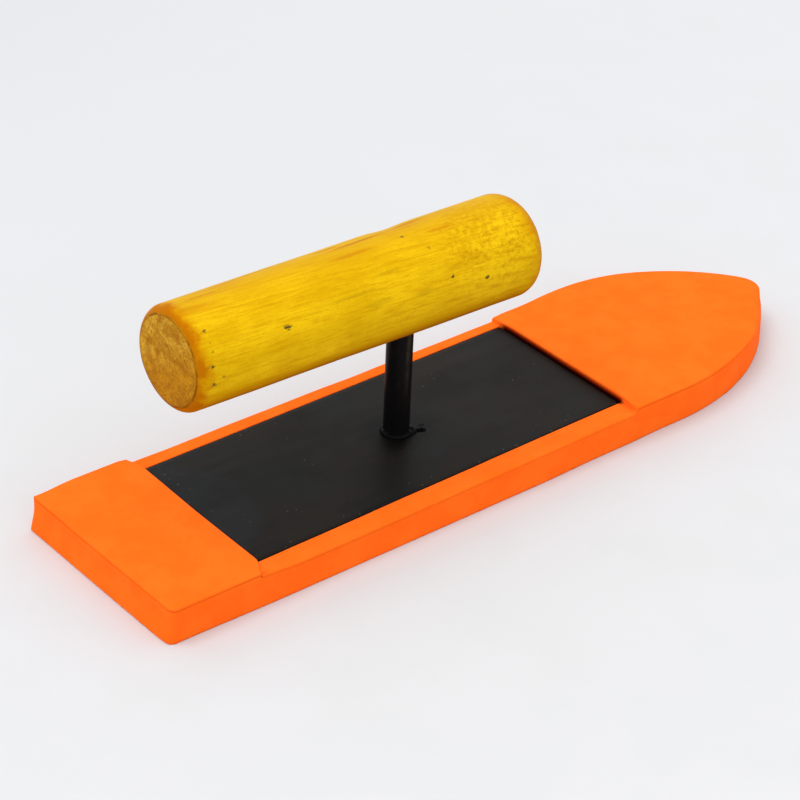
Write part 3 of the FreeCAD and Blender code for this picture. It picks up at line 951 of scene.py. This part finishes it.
def make_weld(material):
    """A low uneven bead round the post's foot, with a lump at one side and a few drops of spatter."""
    bm = bmesh.new()
    around, across = 144, 14
    height = WELD_HIGH.z - WELD_LOW.z
    inner = POST_RADIUS - 0.2 * MM
    base = WELD_LOW.z - 0.05 * MM
    rings = []
    for angle in circle(around):
        out = heading(angle)
        ripple = wander(out * 6 * MM, 1.7 * MM, 3)
        lump = math.exp(-(math.remainder(angle - LUMP_ANGLE, 2 * math.pi) / 0.35) ** 2)
        reach = (WELD_RADIUS - inner) * (0.72 + 0.16 * ripple + 0.85 * lump)
        rise = height * (0.66 + 0.18 * ripple + 0.1 * lump)
        ring = []
        for k in range(across + 1):
            t = k / across
            bulge = (1 - t ** 2.4) ** 0.6
            point = POST_FOOT + out * (inner + reach * t)
            ring.append(bm.verts.new((point.x, point.y, base + rise * bulge)))
        point = POST_FOOT + out * inner
        ring.append(bm.verts.new((point.x, point.y, base)))
        rings.append(ring)
    for near, far in zip(rings, rings[1:] + rings[:1]):
        join_rings(bm, near, far)
    draw = random.Random(8)
    for _ in range(5):
        angle = draw.gauss(LUMP_ANGLE, 0.6)
        distance = WELD_RADIUS + draw.uniform(2.8, 4.8) * MM
        place = POST_FOOT + heading(angle) * distance
        add_drop(bm, Vector((place.x, place.y, PLATE_HIGH.z)), draw.uniform(0.35, 0.5) * MM)
    return new_object("weld_roll", bm, material)


def add_drop(bm, place, radius):
    """A small flattened lump, half sunk into the plate."""
    made = bmesh.ops.create_icosphere(bm, subdivisions=3, radius=radius)
    for vertex in made["verts"]:
        vertex.co.z *= 0.55
        vertex.co *= 1 + 0.25 * wander(vertex.co + place, 0.6 * MM, 4)
        vertex.co += place


# Middle of the burnt patch from the post's axis, its half length and half width in millimetres, and
# the way it points from +X.
BURN_MIDDLE = (6.2, -3.9)
BURN_REACH = (3.4, 1.5)
BURN_TURN = math.radians(-34)


def make_burn(material):
    """A ragged patch of burnt paint beside the weld, a tenth of a millimetre thick."""
    bm = bmesh.new()
    around, across = 96, 8
    top = PLATE_HIGH.z + 0.1 * MM
    middle = POST_FOOT + Vector((BURN_MIDDLE[0] * MM, BURN_MIDDLE[1] * MM, 0))
    turn = Matrix.Rotation(BURN_TURN, 2)
    rings = [[] for _ in range(across + 1)]
    for angle in circle(around):
        out = Vector((math.cos(angle) * BURN_REACH[0], math.sin(angle) * BURN_REACH[1])) * MM
        ragged = 1 + 0.35 * wander(Vector((out.x, out.y, 0)), 0.9 * MM, 21)
        ragged += 0.3 * wander(Vector((out.x, out.y, 0)), 2.5 * MM, 22)
        out = turn @ out
        for k in range(1, across + 1):
            t = k / across
            height = top - 0.12 * MM * t ** 3
            flat = middle.xy + out * t * ragged
            rings[k].append(bm.verts.new((*flat, height)))
        x, y, _ = rings[across][-1].co
        rings[0].append(bm.verts.new((x, y, PLATE_HIGH.z - 0.05 * MM)))
    for near, far in zip(rings[1:], rings[2:]):
        join_rings(bm, near, far)
    join_rings(bm, rings[across], rings[0])
    for ring in (rings[0], rings[1]):
        bmesh.ops.poke(bm, faces=[bm.faces.new(ring)])
    return new_object("burnt_patch", bm, material)


# ---- handle ----
def handle_profile():
    """Distance along the handle and radius, from the middle of one end to the middle of the other."""
    half = HALF_HANDLE
    heel_flat = HANDLE_HEEL_RADIUS - HANDLE_HEEL_ROUND
    toe_flat = HANDLE_TOE_RADIUS - HANDLE_TOE_ROUND
    profile = [(-half, r) for r in spread(0.6 * MM, heel_flat, 14)]
    for i in range(1, 12):
        angle = math.pi / 2 * i / 12
        profile.append((-half + HANDLE_HEEL_ROUND * (1 - math.cos(angle)),
                        heel_flat + HANDLE_HEEL_ROUND * math.sin(angle)))
    start, end = -half + HANDLE_HEEL_ROUND, half - HANDLE_TOE_ROUND
    for x in spread(start, end, 120):
        share = (x - start) / (end - start)
        profile.append((x, HANDLE_HEEL_RADIUS + (HANDLE_TOE_RADIUS - HANDLE_HEEL_RADIUS) * share))
    for i in range(1, 16):
        angle = math.pi / 2 * i / 16
        profile.append((half - HANDLE_TOE_ROUND * (1 - math.sin(angle)),
                        toe_flat + HANDLE_TOE_ROUND * math.cos(angle)))
    profile += [(half, r) for r in spread(toe_flat, 0.6 * MM, 12)]
    return profile


def handle_shift(place, _normal):
    """Out of round by a hair, sanding flats, and a shallow hollow on top above the post."""
    shift = 0.16 * MM * wander(Vector((place.x * 0.45, place.y, place.z)), 15 * MM, 7)
    shift += 0.035 * MM * wander(Vector((place.x * 0.5, place.y, place.z)), 3.5 * MM, 8)
    angle = math.atan2(place.y, place.z)
    dip = math.exp(-((place.x - 22 * MM) / (6 * MM)) ** 2 - ((angle - 0.65) / 0.45) ** 2)
    return shift - 0.5 * MM * dip


def make_handle(material):
    """The turned handle, dipped towards the toe and bored for the post."""
    bm = bmesh.new()
    around = 144
    rings = []
    for x, radius in handle_profile():
        rings.append([bm.verts.new((x, radius * math.cos(a), radius * math.sin(a))) for a in circle(around)])
    for near, far in zip(rings, rings[1:]):
        join_rings(bm, near, far)
    bm.faces.new(rings[0])
    bm.faces.new(rings[-1])
    bmesh.ops.poke(bm, faces=[f for f in bm.faces if len(f.verts) == around])
    handle = new_object("turned_handle", bm, material)
    displace(handle, handle_shift)
    handle.location = HANDLE_CENTRE
    handle.rotation_euler = (0, HANDLE_DIP, 0)
    bpy.context.view_layer.update()
    bore(handle, POST_RADIUS + 0.1 * MM, HANDLE_LOW.z - 10 * MM, POST_HIGH.z + 1 * MM)
    return handle


# ---- stage ----
CAMERA_AZIMUTH = math.radians(-41.861)
CAMERA_ELEVATION = math.radians(32.779)
CAMERA_ROLL = math.radians(4.076)
CAMERA_DISTANCE = 0.9044
CAMERA_AIM = Vector((-0.00085, 0.0298, 0))
CAMERA_LENS = 113.74
SENSOR_WIDTH = 36
KEY_PLACE = (-1.15, 0.3, 2.95)
KEY_SIZE = 2.0
KEY_POWER = 36


def make_camera():
    """A long lens, a little rolled, that looks down at the heel's right side."""
    a, e = CAMERA_AZIMUTH, CAMERA_ELEVATION
    back = Vector((math.sin(a) * math.cos(e), -math.cos(a) * math.cos(e), math.sin(e)))
    right = Vector((math.cos(a), math.sin(a), 0))
    up = back.cross(right)
    c, s = math.cos(CAMERA_ROLL), math.sin(CAMERA_ROLL)
    across, upward = right * c + up * s, up * c - right * s
    data = bpy.data.cameras.new("camera")
    data.lens = CAMERA_LENS
    data.sensor_width = SENSOR_WIDTH
    data.clip_start = 0.01
    camera = bpy.data.objects.new("camera", data)
    turn = Matrix((across, upward, back)).transposed().to_4x4()
    camera.matrix_world = Matrix.Translation(CAMERA_AIM + back * CAMERA_DISTANCE) @ turn
    bpy.context.scene.collection.objects.link(camera)
    bpy.context.scene.camera = camera


def make_floor():
    """The studio's floor, a hair under the sole."""
    bm = bmesh.new()
    bmesh.ops.create_grid(bm, x_segments=8, y_segments=8, size=4)
    floor = new_object("floor", bm, floor_material())
    floor.location.z = -0.02 * MM


def area_light(name, place, aim, size, power):
    """A white disc that faces a point."""
    data = bpy.data.lights.new(name, "AREA")
    data.shape = "DISK"
    data.size = size
    data.energy = power
    light = bpy.data.objects.new(name, data)
    light.location = place
    light.rotation_mode = "QUATERNION"
    light.rotation_quaternion = (Vector(place) - Vector(aim)).to_track_quat("Z", "Y")
    bpy.context.scene.collection.objects.link(light)


def make_lights():
    """A bright even room and one large soft key."""
    world = bpy.data.worlds.new("studio")
    world.use_nodes = True
    background = world.node_tree.nodes["Background"]
    background.inputs["Color"].default_value = (0.985, 0.99, 1.0, 1)
    background.inputs["Strength"].default_value = 1.2
    bpy.context.scene.world = world
    area_light("key", KEY_PLACE, (0, 0, 0), KEY_SIZE, KEY_POWER)


def main():
    bpy.context.scene.view_settings.view_transform = "Standard"
    foam = foam_material()
    steel = steel_material()
    wood = wood_material()
    pad = make_foam_pad(foam)
    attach(pad, "root")
    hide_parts("foam_pad")
    plate = make_plate(steel)
    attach(plate, "root")
    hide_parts("backing_plate")
    post = make_post(black_paint_material("painted_post", 0.12 * MM, 0.5, 0.05))
    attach(post, "root")
    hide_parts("post")
    weld = make_weld(black_paint_material("painted_weld", 0.25 * MM, 0.34, 0.03))
    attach(weld, "root")
    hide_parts("weld_bead")
    burn = make_burn(burnt_material())
    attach(burn, "root")
    handle = make_handle(wood)
    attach(handle, "root")
    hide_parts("handle")
    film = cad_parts["glue_film"].data
    film.materials.clear()
    film.materials.append(adhesive_material())
    make_floor()
    make_lights()
    make_camera()


main()
